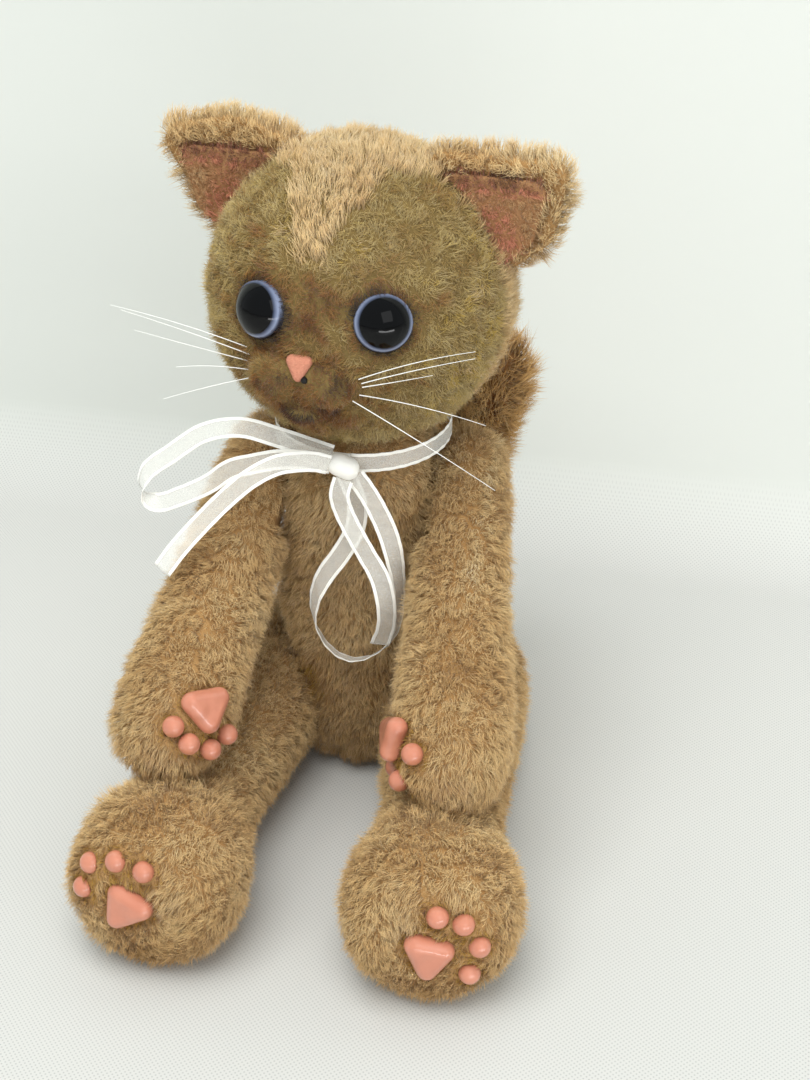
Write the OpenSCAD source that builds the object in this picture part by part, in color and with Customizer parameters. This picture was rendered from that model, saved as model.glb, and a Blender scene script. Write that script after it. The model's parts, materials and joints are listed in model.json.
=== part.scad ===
// Jointed plush cat in its sitting pose. Millimetres, +Z up. The cat faces -Y, and its left side is +X.
// The origin is the centre of the flat seat, on the surface that the cat sits on.
// Each limb and the head turn on a cotter pin between two discs, as in a jointed teddy bear.

/* [Fabric] */
// Thickness of the sewn fabric with its dense underfur
skin = 1.2; // [1:0.1:1.8]
// Gap between two furry parts that turn against each other
joint_gap = 0.4; // [0.3:0.1:0.6]

/* [Head] */
// Radius of the head ball
head_r = 42.5; // [41.5:0.5:43]
// Height of the head's centre above the seat
head_z = 159.5; // [159:0.5:161]
// Turn of the head about the neck, in degrees
head_yaw = -8; // [-12:1:12]
// Diameter of the glass eyes
eye_d = 16; // [14:0.5:17]

/* [Arms] */
// Swing of the arms forward from hanging straight down, in degrees
arm_swing = 59; // [59:1:62]
// Height of the shoulder joints
shoulder_z = 98; // [97:0.5:99]

/* [Legs] */
// Height of the hip joints and of the legs' own axes
hip_z = 23; // [23:0.1:23.2]

/* [Ribbon] */
// Width of the organza ribbon
ribbon_w = 6; // [5:0.5:7]
// Radius of the ribbon round the neck
neck_band_r = 26.5; // [25:0.5:27]

/* [Whiskers] */
// Diameter of a whisker at its root
whisker_d = 0.45; // [0.4:0.05:0.8]

/* [Hidden] */
SIDES = ["left", "right"];

FUR = [0.74, 0.60, 0.45];
FELT = [0.56, 0.50, 0.33];
PINK_CLAY = [0.80, 0.52, 0.46];
STUFFING = [0.93, 0.92, 0.88];
STEEL = [0.70, 0.70, 0.72];
BOARD = [0.50, 0.36, 0.24];
big = 200;

// Each joint has its contact plane at local z = 0, and local +z points from the torso into the limb.
neck_z = 119;
shoulder_x = 22.5;
shoulder_tilt = 8;
hip_x = 18;
pin_r = 1.5;
pin_clearance = 0.06;
disc_t = 2;
washer_t = 1;
washer_r = 4.5;
neck_disc_r = 9;
shoulder_disc_r = 6.2;
hip_disc_r = 11;
pocket_clearance = 0.1;
pin_head_t = 2.4;
curl_r = 2.6;
curl_wire_r = 0.7;
curl_room = 4.5;
pellet_sack_r = 7.6;
pellet_sack_l = 30;
pin_end = 1.3;
curl_pocket_r = 2 * curl_r + curl_wire_r + 1.1;

// Outlines of the turned shapes, as [distance along the axis, radius].
TORSO = [[0, 13], [1.5, 17.5], [5, 22], [12, 26], [22, 27.6], [40, 28], [58, 27.2], [75, 26], [88, 25.4],
    [98, 24.8], [106, 22.6], [112, 19], [116, 16], [118.8, 12.5]];
ARM = [[-13, 1], [-12.2, 5], [-9, 9.4], [0, 11.6], [10, 12], [30, 12.4], [50, 13.2], [70, 14.6],
    [84, 15.4], [94, 13.8], [100, 10.6], [104, 5.6], [105, 1]];
LEG = [[-19, 1], [-18, 6.5], [-14.5, 12.5], [-8.5, 17.5], [0, 19.8], [14, 20], [32, 19], [50, 17.2],
    [68, 15.4], [80, 15.8], [88, 18.4], [96, 21.6], [104, 23], [112, 22.2], [118, 19.6], [121.5, 15], [122.5, 10]];
arm_offset = 8;
left_arm_out = 0.5;
right_arm_out = 4;
arm_seat_r = 25;
arm_paw_s = 88;
arm_paw_r = 15.4;
leg_offset = 11.5;
left_leg_out = 4;
right_leg_out = 5.8;
leg_seat_r = 26;
hip_press_r = 28;
hip_press_h = 30;
seat_flare = 12;
foot_s = 100;
foot_r = 22.5;
foot_toe_r = 24.6;

head_centre = [0, -3, head_z];
left_eye_turn = 27.5;
right_eye_turn = 21.5;
eye_lift = 11;
eye_sink = 3.2;
// The corners of each ear, as [out, up] from the head's centre.
LEFT_EAR = [[24, 37], [53, 37], [50, 22], [38, 12]];
RIGHT_EAR = [[21, 36], [38, 41], [54, 37], [43, 18], [38, 12]];
eye_rim = 0.9;
eye_dome = 4.4;
muzzle_r = 9.2;
muzzle_x = -3.5;
chin_r = 7;
glue_gap = 0.05;
nose_x = -2.4;

// The tail's centre line and its radius at each point.
TAIL = [[0, 8, 15], [0, 18, 16], [1, 28, 19], [4, 36, 27], [9, 40, 38], [14, 42, 52], [19, 43, 67], [25, 44, 83],
    [31, 44, 98], [35, 43, 110], [37, 42, 118], [38, 41.5, 122]];
tail_wire_r = 0.8;
TAIL_R = [7, 8, 8.5, 8.5, 8.2, 8, 8, 8, 7.8, 7, 5.4, 2.6];

// The ribbon's free stretches: each row is a point of the route and the way that the ribbon faces there.
SIDE_LOOP = [[-4, -31, 120, 0, -1, 0.4], [-11, -31, 122, 0, -1, 0.5], [-20, -31, 124.5, 0, -1, 0.6],
    [-31, -29, 125.5, 0, -1, 0.7], [-43, -26, 121, 0, -1, 0.7], [-54, -24, 112, -0.3, -1, 0.5],
    [-62, -23, 105, -0.7, -1, 0.3], [-64, -24, 99, -1, -0.6, -0.2], [-59, -26, 96, 0, 1, -0.8],
    [-50, -29, 101, 0, 1, -0.7], [-41, -31, 107, 0, 1, -0.6], [-34, -32, 113, 0, 1, -0.5],
    [-27, -33, 116, 0, 1, -0.4], [-19, -33.5, 118.5, 0, 1, -0.3], [-11, -33.5, 119, 0, 1, -0.2],
    [-4, -33, 118, 0, 1, 0]];
SIDE_END = [[-4, -35, 119, 0, -1, 0.2], [-8, -36.5, 120.5, 0, -1, 0.3], [-13, -37.5, 120.5, 0, -1, 0.4],
    [-19, -38, 119, 0, -1, 0.5], [-26, -39.5, 115, 0, -1, 0.6], [-33, -42, 109, 0, -1, 0.6],
    [-39, -45, 103, 0, -1, 0.6], [-46, -48, 95, 0, -1, 0.6], [-51, -50, 88, 0, -1, 0.6]];
HANGING_LOOP = [[3, -33, 115, 0, -1, 0.2], [6, -33.5, 111, 0, -1, 0.2], [9, -34, 106, 0.1, -1, 0.1],
    [12, -34, 99, 0.3, -1, 0], [14, -34, 92, 0.6, -1, 0], [15.5, -34, 83, 1, -0.7, 0],
    [16, -34, 74, 1, -0.4, 0], [15, -34, 63, 1, -0.3, -0.6], [10, -34, 55, 0.4, -0.4, -1],
    [2, -34, 51, 0, -0.4, -1], [-5, -34, 54, -0.5, -0.4, -1], [-10, -33, 62, -1, -0.4, -0.4],
    [-10, -33, 71, -1, -0.8, 0], [-7, -32, 79, -0.5, -1, 0.1], [-2, -31.5, 87, -0.2, -1, 0.1],
    [2, -30.5, 95, 0, -1, 0.1], [3, -30, 103, 0, -1, 0.1], [1.5, -30, 109, 0, -1, 0.2],
    [0, -31, 114, 0, -1, 0.2]];
HANGING_END = [[0, -35, 114.5, 0, -1, 0.1], [-1, -36, 110, 0, -1, 0.1], [0, -36, 105, 0, -1, 0.1],
    [3, -37, 99, 0, -1, 0.1], [7, -38, 92, 0, -1, 0.1], [11, -39, 85, 0.2, -1, 0.1],
    [13, -40, 77, 0.5, -1, 0], [13, -40, 69, 0.6, -1, 0], [11, -40, 62, 0.4, -1, 0]];
ribbon_t = 0.5;

// Each whisker's root and tip, from the head's centre. Every one is stitched in by hand, so no two match.
LEFT_WHISKERS = [[[11, -42, -8], [45, -38, 4]], [[12, -42, -9], [45, -38, 2]], [[12, -42, -10], [34, -39, -4]],
    [[12, -41, -12], [48, -37, -18]], [[11, -41, -14], [55, -53, -28]]];
RIGHT_WHISKERS = [[[-17, -36, -6], [-55, -48, 8]], [[-17, -36, -8], [-52, -48, 7]],
    [[-19, -35, -10], [-49, -47, 1]], [[-17, -36, -12], [-38, -46, -9]], [[-18, -35, -14], [-42, -47, -19]]];
whisker_tip_d = 0.3;

// Each paw's pads: the turn, tilt and roll of the main pad on the paw's ball, and the angle and tilt from it
// of each toe pad, in degrees. Each paw's differ a little, as on a hand-made toy.
LEFT_PALM = [-26, 90, 160];
LEFT_PALM_TOES = [[232, 40], [154, 40], [112, 40], [70, 40]];
RIGHT_PALM = [-48, 90, 145];
RIGHT_PALM_TOES = [[221, 36], [180, 35], [135, 40], [96, 43]];
LEFT_SOLE = [-170, 4, 10];
LEFT_SOLE_TOES = [[74, 28], [40, 29], [-1, 29], [-48, 29]];
RIGHT_SOLE = [-123, 12, 0];
RIGHT_SOLE_TOES = [[-55, 31], [-21, 33], [19, 28], [59, 28]];
toe_r = 3.1;
pad_r = 3.1;
pad_rise = 1.7;

// A smooth curve through the points, n steps to a stretch.
function catmull(a, b, c, d, t) = 0.5 * (2 * b + (c - a) * t + (2 * a - 5 * b + 4 * c - d) * t * t
    + (3 * b - a - 3 * c + d) * t * t * t);
function smooth(p, n) = concat([for (i = [0:len(p) - 2], k = [0:n - 1])
    catmull(p[max(i - 1, 0)], p[i], p[i + 1], p[min(i + 2, len(p) - 1)], k / n)], [p[len(p) - 1]]);
function unit(v) = v / norm(v);

// The turned outline as polygon points, and the same outline one skin further in.
function outline(p) = let (q = smooth(p, 2)) concat([[0, q[0][0]]], [for (a = q) [a[1], a[0]]],
    [[0, q[len(q) - 1][0]]]);
function inset(p) = let (q = smooth(p, 2), lo = q[0][0] + skin, hi = q[len(q) - 1][0] - skin)
    concat([[0, lo]], [for (a = q) if (a[1] > skin + 0.5) [a[1] - skin, min(max(a[0], lo), hi)]], [[0, hi]]);

module turned(points) {
    rotate_extrude($fn = 72) polygon(points);
}

module sided(side) {
    if (side == "left") {
        children();
    } else {
        mirror([1, 0, 0]) children();
    }
}

module at_neck() {
    translate([0, 0, neck_z]) children();
}

module at_shoulder(side) {
    sided(side) translate([shoulder_x, 0, shoulder_z]) rotate([0, 90 - shoulder_tilt, 0]) children();
}

module at_hip(side) {
    sided(side) translate([hip_x, 0, hip_z]) rotate([0, 90, 0]) children();
}

module at_head() {
    rotate([0, 0, head_yaw]) translate(head_centre) children();
}

// ---- joint hardware, drawn in a joint's own frame ----

module disc(r, z) {
    translate([0, 0, z]) difference() {
        cylinder(r = r, h = disc_t, $fn = 48);
        translate([0, 0, -1]) cylinder(r = pin_r + pin_clearance, h = disc_t + 2, $fn = 32);
    }
}

module washer(z) {
    translate([0, 0, z]) difference() {
        cylinder(r = washer_r, h = washer_t, $fn = 40);
        translate([0, 0, -1]) cylinder(r = pin_r + pin_clearance, h = washer_t + 2, $fn = 32);
    }
}

limb_disc_z = joint_gap / 2 + skin;
limb_washer_z = limb_disc_z + disc_t;
pin_head_z = limb_washer_z + washer_t;
torso_disc_z = -joint_gap / 2 - skin - disc_t;
torso_washer_z = torso_disc_z - washer_t;

module curled_leg() {
    rotate([90, 0, 0]) rotate_extrude(angle = 200, $fn = 40) translate([curl_r, 0]) circle(r = curl_wire_r, $fn = 20);
}

module cotter_pin() {
    translate([0, 0, torso_washer_z - pin_end]) cylinder(r = pin_r, h = pin_head_z - torso_washer_z + pin_end, $fn = 32);
    translate([0, 0, pin_head_z]) cylinder(r = 2 * pin_r, h = pin_head_t, $fn = 32);
    for (turn = [0, 180]) {
        rotate([0, 0, turn]) translate([curl_r + 0.5, 0, torso_washer_z - curl_wire_r - 0.2]) mirror([0, 0, 1])
            intersection() {
                curled_leg();
                translate([-big / 2, -big / 2, 0]) cube(big);
            }
    }
}

module pin_bore() {
    translate([0, 0, -20]) cylinder(r = pin_r + pin_clearance, h = 40, $fn = 32);
}

module limb_pocket(r) {
    translate([0, 0, limb_disc_z - 0.01]) cylinder(r = r + pocket_clearance, h = disc_t + 0.02, $fn = 48);
    translate([0, 0, limb_washer_z]) cylinder(r = washer_r + pocket_clearance, h = washer_t + pin_head_t + 0.6, $fn = 40);
}

module torso_pocket(r) {
    translate([0, 0, torso_disc_z]) cylinder(r = r + pocket_clearance, h = disc_t + 0.01, $fn = 48);
    translate([0, 0, torso_washer_z - curl_room]) cylinder(r = curl_pocket_r, h = washer_t + curl_room + 0.01, $fn = 40);
}

module all_torso_sides() {
    at_neck() children(0);
    for (side = SIDES) {
        at_shoulder(side) children(1);
        at_hip(side) children(2);
    }
}

// ---- torso ----

module half_space(z) {
    translate([-big / 2, -big / 2, z]) cube(big);
}

// What a thigh presses the hip flat by: r round on the flat, and wider outside it.
module hip_press(z, r) {
    translate([0, 0, z]) cylinder(r1 = r, r2 = r + hip_press_h, h = hip_press_h, $fn = 72);
}

module torso_outer() {
    difference() {
        turned(outline(TORSO));
        all_torso_sides() {
            half_space(-joint_gap / 2);
            half_space(-joint_gap / 2);
            hip_press(-joint_gap / 2, hip_press_r);
        }
    }
}

module torso_inner() {
    difference() {
        turned(inset(TORSO));
        all_torso_sides() {
            half_space(-joint_gap / 2 - skin);
            half_space(-joint_gap / 2 - skin);
            hip_press(-joint_gap / 2 - skin, hip_press_r + skin / 2);
        }
    }
}

module pellet_sack() {
    translate([0, pellet_sack_l / 2, 11]) rotate([90, 0, 0]) cylinder(r = pellet_sack_r, h = pellet_sack_l, $fn = 48);
}

module torso_skin() {
    color(FUR) difference() {
        torso_outer();
        torso_inner();
        all_torso_sides() {
            pin_bore();
            pin_bore();
            pin_bore();
        }
    }
}

module torso_stuffing() {
    color(STUFFING) difference() {
        torso_inner();
        pellet_sack();
        all_torso_sides() {
            torso_pocket(neck_disc_r);
            torso_pocket(shoulder_disc_r);
            torso_pocket(hip_disc_r);
        }
    }
}

module pellet_bag() {
    color([0.85, 0.82, 0.75]) pellet_sack();
}

module torso_joint_discs() {
    color(BOARD) all_torso_sides() {
        disc(neck_disc_r, torso_disc_z);
        disc(shoulder_disc_r, torso_disc_z);
        disc(hip_disc_r, torso_disc_z);
    }
}

module torso_joint_washers() {
    color(STEEL) all_torso_sides() {
        washer(torso_washer_z);
        washer(torso_washer_z);
        washer(torso_washer_z);
    }
}

// ---- tail and ribbon: solids swept along a route ----

function tangent(p, i) = unit(p[min(i + 1, len(p) - 1)] - p[max(i - 1, 0)]);
function ring(c, t, r, sides) = let (a = unit(cross(t, [1, 0, 0])), b = cross(a, t))
    [for (k = [0:sides - 1]) c + r * (cos(360 * k / sides) * a + sin(360 * k / sides) * b)];
// The first half of the sides is split along one diagonal and the rest along the other, so that the two faces
// of a flat band run side by side.
function band_faces(n, sides) = concat(
    [for (k = [1:sides - 2]) [0, k + 1, k]],
    [for (i = [0:n - 2], k = [0:sides - 1]) let (a = i * sides, j = (k + 1) % sides)
        k < sides / 2 ? [a + k, a + j, a + sides + k] : [a + k, a + j, a + sides + j]],
    [for (i = [0:n - 2], k = [0:sides - 1]) let (a = i * sides, j = (k + 1) % sides)
        k < sides / 2 ? [a + j, a + sides + j, a + sides + k] : [a + k, a + sides + j, a + sides + k]],
    [for (k = [1:sides - 2]) let (a = (n - 1) * sides) [a, a + k, a + k + 1]]);

module swept(p, r, sides) {
    rings = [for (i = [0:len(p) - 1]) ring(p[i], tangent(p, i), r[i], sides)];
    polyhedron(points = [for (a = rings, q = a) q], faces = band_faces(len(p), sides));
}

// The tail's tube, so much smaller all round; its root is inside the torso, which is cut out of it later.
module tail_tube(inward) {
    last = len(TAIL) - 1;
    swept([for (i = [0:last]) i < last ? TAIL[i] : TAIL[i] - inward * tangent(TAIL, i)],
        [for (r = TAIL_R) max(r - inward, 0.8)], 16);
}

module wire_tube() {
    swept([for (i = [1:len(TAIL) - 3]) TAIL[i]], [for (i = [1:len(TAIL) - 3]) tail_wire_r], 8);
}

module tail_skin() {
    color([0.55, 0.36, 0.22]) difference() {
        tail_tube(0);
        tail_tube(skin);
        turned(outline(TORSO));
    }
}

module tail_stuffing() {
    color(STUFFING) difference() {
        tail_tube(skin);
        wire_tube();
        turned(outline(TORSO));
    }
}

module tail_wire() {
    color(STEEL) difference() {
        wire_tube();
        turned(outline(TORSO));
    }
}

// ---- ribbon ----

function across(row, p, i) = unit(cross(tangent(p, i), [row[3], row[4], row[5]]));
function ribbon_ring(c, t, w) = let (n = unit(cross(w, t)) * ribbon_t / 2, h = w * ribbon_w / 2)
    [c - h - n, c + h - n, c + h + n, c - h + n];

module ribbon(route) {
    rows = smooth(route, 2);
    p = [for (row = rows) [row[0], row[1], row[2]]];
    rings = [for (i = [0:len(p) - 1]) ribbon_ring(p[i], tangent(p, i), across(rows[i], p, i))];
    color([0.95, 0.94, 0.90]) polyhedron(points = [for (a = rings, q = a) q], faces = band_faces(len(p), 4));
}

module ribbon_neck_band() {
    color([0.95, 0.94, 0.90]) translate([0, -3, 117 - ribbon_w / 2]) difference() {
        cylinder(r = neck_band_r, h = ribbon_w, $fn = 72);
        translate([0, 0, -1]) cylinder(r = neck_band_r - ribbon_t, h = ribbon_w + 2, $fn = 72);
    }
}

module ribbon_knot() {
    color([0.95, 0.94, 0.90]) translate([-0.5, -32.5, 117.5]) hull() {
        translate([-1.4, 0, 0.6]) sphere(r = 3.4, $fn = 20);
        translate([1.4, 0, -0.6]) sphere(r = 3.4, $fn = 20);
    }
}

module ribbon_side_loop() {
    ribbon(SIDE_LOOP);
}

module ribbon_side_end() {
    ribbon(SIDE_END);
}

module ribbon_hanging_loop() {
    ribbon(HANGING_LOOP);
}

module ribbon_hanging_end() {
    ribbon(HANGING_END);
}

// ---- head ----

module head_outer() {
    difference() {
        at_head() sphere(r = head_r, $fn = 96);
        translate([0, 0, neck_z + joint_gap / 2]) mirror([0, 0, 1]) half_space(0);
    }
}

module head_inner() {
    difference() {
        at_head() sphere(r = head_r - skin, $fn = 96);
        translate([0, 0, neck_z + joint_gap / 2 + skin]) mirror([0, 0, 1]) half_space(0);
    }
}

// The eye's own frame: z = 0 on the head's surface, +z outwards.
module at_eye(side) {
    turn = side == "left" ? left_eye_turn : right_eye_turn;
    at_head() sided(side) rotate([0, 0, turn]) rotate([90 - eye_lift, 0, 0]) translate([0, 0, head_r]) children();
}

module eye_pocket() {
    translate([0, 0, -eye_sink]) cylinder(d = eye_d + 0.1, h = 20, $fn = 64);
}

module eye_loop_pocket() {
    translate([0, 0, -eye_sink - 5.4]) cylinder(r = 3, h = 5.5, $fn = 32);
}

module head_skin() {
    color(FUR) difference() {
        head_outer();
        head_inner();
        at_neck() pin_bore();
        for (side = SIDES) {
            at_eye(side) eye_pocket();
        }
    }
}

module head_stuffing() {
    color(STUFFING) difference() {
        head_inner();
        at_neck() limb_pocket(neck_disc_r);
        for (side = SIDES) {
            at_eye(side) eye_pocket();
            at_eye(side) eye_loop_pocket();
        }
    }
}

module muzzle_balls() {
    for (x = [muzzle_x - 5.5, muzzle_x + 5.5]) {
        translate([x, -37, -10]) sphere(r = muzzle_r, $fn = 48);
    }
}

module muzzle_felt() {
    color(FELT) difference() {
        at_head() union() {
            muzzle_balls();
            translate([muzzle_x, -36.5, -17.5]) sphere(r = chin_r, $fn = 48);
        }
        at_head() sphere(r = head_r + glue_gap, $fn = 96);
    }
}

module nose_ball() {
    translate([nose_x, 0, 0]) hull() {
        for (x = [-2, 2]) {
            translate([x, -43.7, -3.2]) sphere(r = 1.8, $fn = 16);
        }
        translate([0, -45.2, -7]) sphere(r = 1.5, $fn = 16);
    }
}

module nose() {
    color([0.86, 0.56, 0.50]) at_head() difference() {
        nose_ball();
        sphere(r = head_r, $fn = 96);
        muzzle_balls();
    }
}

module mouth_stitch() {
    color([0.08, 0.06, 0.05]) at_head() difference() {
        translate([nose_x + 1.9, -45.6, -7.6]) sphere(r = 1, $fn = 20);
        nose_ball();
        muzzle_balls();
    }
}

module glass_eye() {
    cap_r = (eye_d * eye_d / 4 + eye_dome * eye_dome) / (2 * eye_dome);
    color([0.05, 0.05, 0.07]) union() {
        translate([0, 0, -eye_sink]) cylinder(d = eye_d, h = eye_sink + eye_rim, $fn = 64);
        intersection() {
            translate([0, 0, eye_rim + eye_dome - cap_r]) sphere(r = cap_r, $fn = 64);
            translate([0, 0, eye_rim - 0.01]) cylinder(d = eye_d, h = 10, $fn = 64);
        }
    }
}

module eye_loop() {
    color(STEEL) translate([0, 0, -eye_sink - 2.45]) rotate([90, 0, 0])
        rotate_extrude($fn = 40) translate([2, 0]) circle(r = 0.45, $fn = 20);
}

module left_eye() {
    at_eye("left") glass_eye();
}

module right_eye() {
    at_eye("right") glass_eye();
}

module left_eye_loop() {
    at_eye("left") eye_loop();
}

module right_eye_loop() {
    at_eye("right") eye_loop();
}

// An ear's layer: a rounded triangle seen from the front, r at its corners, from y0 to y1.
module ear_layer(corners, r, y0, y1) {
    difference() {
        hull() {
            for (c = corners) {
                translate([c[0], y1, c[1]]) rotate([90, 0, 0]) cylinder(r = r, h = y1 - y0, $fn = 32);
            }
        }
        sphere(r = head_r, $fn = 96);
    }
}

module ear_back(side) {
    color(FUR) at_head() sided(side) ear_layer(side == "left" ? LEFT_EAR : RIGHT_EAR, 5, 2, 7);
}

module ear_lining(side) {
    color([0.86, 0.55, 0.50]) at_head() sided(side) ear_layer([[28, 33], [49, 33], [46, 21], [39, 16]], 4, 0.2, 2);
}

module left_ear_back() {
    ear_back("left");
}

module right_ear_back() {
    ear_back("right");
}

module left_ear_lining() {
    ear_lining("left");
}

module right_ear_lining() {
    ear_lining("right");
}

module rod(a, b, d1, d2) {
    v = b - a;
    translate(a) rotate([0, acos(v[2] / norm(v)), atan2(v[1], v[0])])
        cylinder(d1 = d1, d2 = d2, h = norm(v), $fn = 16);
}

// The whiskers are threads that run on into the head, through its skin.
module whiskers(rows) {
    color("white") at_head() for (row = rows) {
        rod(row[0], row[1], whisker_d, whisker_tip_d);
    }
}

module left_whiskers() {
    whiskers(LEFT_WHISKERS);
}

module right_whiskers() {
    whiskers(RIGHT_WHISKERS);
}

module neck_disc() {
    color(BOARD) at_neck() disc(neck_disc_r, limb_disc_z);
}

module neck_washer() {
    color(STEEL) at_neck() washer(limb_washer_z);
}

module neck_cotter_pin() {
    color(STEEL) at_neck() cotter_pin();
}

// ---- arms ----

// The arm's own frame: +z along the arm, +x towards the torso, -y to its upper front.
module at_arm(side) {
    out = side == "left" ? left_arm_out : right_arm_out;
    at_shoulder(side) translate([0, 0, joint_gap / 2 + arm_offset]) rotate([0, 0, -arm_swing])
        rotate([0, 90 - out, 0]) children();
}

// What a limb is pressed flat by: the flat is r round, and the limb swells out again beyond it.
module limb_seat(z, r) {
    translate([0, 0, z - seat_flare]) cylinder(r1 = r + seat_flare, r2 = r, h = seat_flare, $fn = 72);
}

module arm_outer(side) {
    difference() {
        at_arm(side) turned(outline(ARM));
        at_shoulder(side) limb_seat(joint_gap / 2, arm_seat_r);
    }
}

module arm_inner(side) {
    difference() {
        at_arm(side) turned(inset(ARM));
        at_shoulder(side) limb_seat(joint_gap / 2 + skin, arm_seat_r + skin);
    }
}

module arm_skin(side) {
    color(FUR) difference() {
        arm_outer(side);
        arm_inner(side);
        at_shoulder(side) pin_bore();
    }
}

module arm_stuffing(side) {
    color(STUFFING) difference() {
        arm_inner(side);
        at_shoulder(side) limb_pocket(shoulder_disc_r);
    }
}

module at_pad(pad) {
    rotate([0, pad[1], pad[0]]) children();
}

// The main pad is a rounded triangle with one corner towards the toes.
module main_pad(pad, ball_r) {
    at_pad(pad) rotate([0, 0, pad[2]]) translate([0, 0, ball_r + pad_rise]) hull() {
        for (y = [-4.6, 4.6]) {
            translate([-3.2, y, 0]) sphere(r = pad_r, $fn = 20);
        }
        translate([3.2, 0, 0]) sphere(r = pad_r, $fn = 20);
    }
}

module toe_pads(pad, toes, ball_r) {
    at_pad(pad) for (toe = toes) {
        rotate([0, toe[1], toe[0]]) translate([0, 0, ball_r + pad_rise]) sphere(r = toe_r, $fn = 32);
    }
}

module palm_pad(side) {
    color(PINK_CLAY) difference() {
        at_arm(side) translate([0, 0, arm_paw_s]) main_pad(side == "left" ? LEFT_PALM : RIGHT_PALM, arm_paw_r);
        arm_outer(side);
    }
}

module hand_toe_pads(side) {
    pad = side == "left" ? LEFT_PALM : RIGHT_PALM;
    toes = side == "left" ? LEFT_PALM_TOES : RIGHT_PALM_TOES;
    color(PINK_CLAY) difference() {
        at_arm(side) translate([0, 0, arm_paw_s]) toe_pads(pad, toes, arm_paw_r);
        arm_outer(side);
    }
}

module left_arm_skin() {
    arm_skin("left");
}

module left_arm_stuffing() {
    arm_stuffing("left");
}

module left_palm_pad() {
    palm_pad("left");
}

module left_hand_toe_pads() {
    hand_toe_pads("left");
}

module left_shoulder_disc() {
    color(BOARD) at_shoulder("left") disc(shoulder_disc_r, limb_disc_z);
}

module left_shoulder_washer() {
    color(STEEL) at_shoulder("left") washer(limb_washer_z);
}

module left_shoulder_cotter_pin() {
    color(STEEL) at_shoulder("left") cotter_pin();
}

module right_arm_skin() {
    arm_skin("right");
}

module right_arm_stuffing() {
    arm_stuffing("right");
}

module right_palm_pad() {
    palm_pad("right");
}

module right_hand_toe_pads() {
    hand_toe_pads("right");
}

module right_shoulder_disc() {
    color(BOARD) at_shoulder("right") disc(shoulder_disc_r, limb_disc_z);
}

module right_shoulder_washer() {
    color(STEEL) at_shoulder("right") washer(limb_washer_z);
}

module right_shoulder_cotter_pin() {
    color(STEEL) at_shoulder("right") cotter_pin();
}

// ---- legs ----

// The leg's own frame: +z along the leg to its sole, +x down.
module at_leg(side) {
    out = side == "left" ? left_leg_out : right_leg_out;
    at_hip(side) translate([0, 0, joint_gap / 2 + leg_offset]) rotate([0, 0, -90]) rotate([0, 90 - out, 0]) children();
}

module leg_outer(side) {
    difference() {
        at_leg(side) turned(outline(LEG));
        at_hip(side) limb_seat(joint_gap / 2, leg_seat_r);
    }
}

module leg_inner(side) {
    difference() {
        at_leg(side) turned(inset(LEG));
        at_hip(side) limb_seat(joint_gap / 2 + skin, leg_seat_r + skin);
    }
}

module leg_skin(side) {
    color(FUR) difference() {
        leg_outer(side);
        leg_inner(side);
        at_hip(side) pin_bore();
    }
}

module leg_stuffing(side) {
    color(STUFFING) difference() {
        leg_inner(side);
        at_hip(side) limb_pocket(hip_disc_r);
    }
}

module sole_pad(side) {
    color(PINK_CLAY) difference() {
        at_leg(side) translate([0, 0, foot_s]) main_pad(side == "left" ? LEFT_SOLE : RIGHT_SOLE, foot_r);
        leg_outer(side);
    }
}

module foot_toe_pads(side) {
    pad = side == "left" ? LEFT_SOLE : RIGHT_SOLE;
    toes = side == "left" ? LEFT_SOLE_TOES : RIGHT_SOLE_TOES;
    color(PINK_CLAY) difference() {
        at_leg(side) translate([0, 0, foot_s]) toe_pads(pad, toes, foot_toe_r);
        leg_outer(side);
    }
}

module left_leg_skin() {
    leg_skin("left");
}

module left_leg_stuffing() {
    leg_stuffing("left");
}

module left_sole_pad() {
    sole_pad("left");
}

module left_foot_toe_pads() {
    foot_toe_pads("left");
}

module left_hip_disc() {
    color(BOARD) at_hip("left") disc(hip_disc_r, limb_disc_z);
}

module left_hip_washer() {
    color(STEEL) at_hip("left") washer(limb_washer_z);
}

module left_hip_cotter_pin() {
    color(STEEL) at_hip("left") cotter_pin();
}

module right_leg_skin() {
    leg_skin("right");
}

module right_leg_stuffing() {
    leg_stuffing("right");
}

module right_sole_pad() {
    sole_pad("right");
}

module right_foot_toe_pads() {
    foot_toe_pads("right");
}

module right_hip_disc() {
    color(BOARD) at_hip("right") disc(hip_disc_r, limb_disc_z);
}

module right_hip_washer() {
    color(STEEL) at_hip("right") washer(limb_washer_z);
}

module right_hip_cotter_pin() {
    color(STEEL) at_hip("right") cotter_pin();
}

torso_skin();
torso_stuffing();
pellet_bag();
torso_joint_discs();
torso_joint_washers();
tail_skin();
tail_stuffing();
tail_wire();
ribbon_neck_band();
ribbon_knot();
ribbon_side_loop();
ribbon_side_end();
ribbon_hanging_loop();
ribbon_hanging_end();
head_skin();
head_stuffing();
muzzle_felt();
nose();
mouth_stitch();
left_eye();
right_eye();
left_eye_loop();
right_eye_loop();
left_ear_back();
right_ear_back();
left_ear_lining();
right_ear_lining();
left_whiskers();
right_whiskers();
neck_disc();
neck_washer();
neck_cotter_pin();
left_arm_skin();
left_arm_stuffing();
left_palm_pad();
left_hand_toe_pads();
left_shoulder_disc();
left_shoulder_washer();
left_shoulder_cotter_pin();
right_arm_skin();
right_arm_stuffing();
right_palm_pad();
right_hand_toe_pads();
right_shoulder_disc();
right_shoulder_washer();
right_shoulder_cotter_pin();
left_leg_skin();
left_leg_stuffing();
left_sole_pad();
left_foot_toe_pads();
left_hip_disc();
left_hip_washer();
left_hip_cotter_pin();
right_leg_skin();
right_leg_stuffing();
right_sole_pad();
right_foot_toe_pads();
right_hip_disc();
right_hip_washer();
right_hip_cotter_pin();
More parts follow.
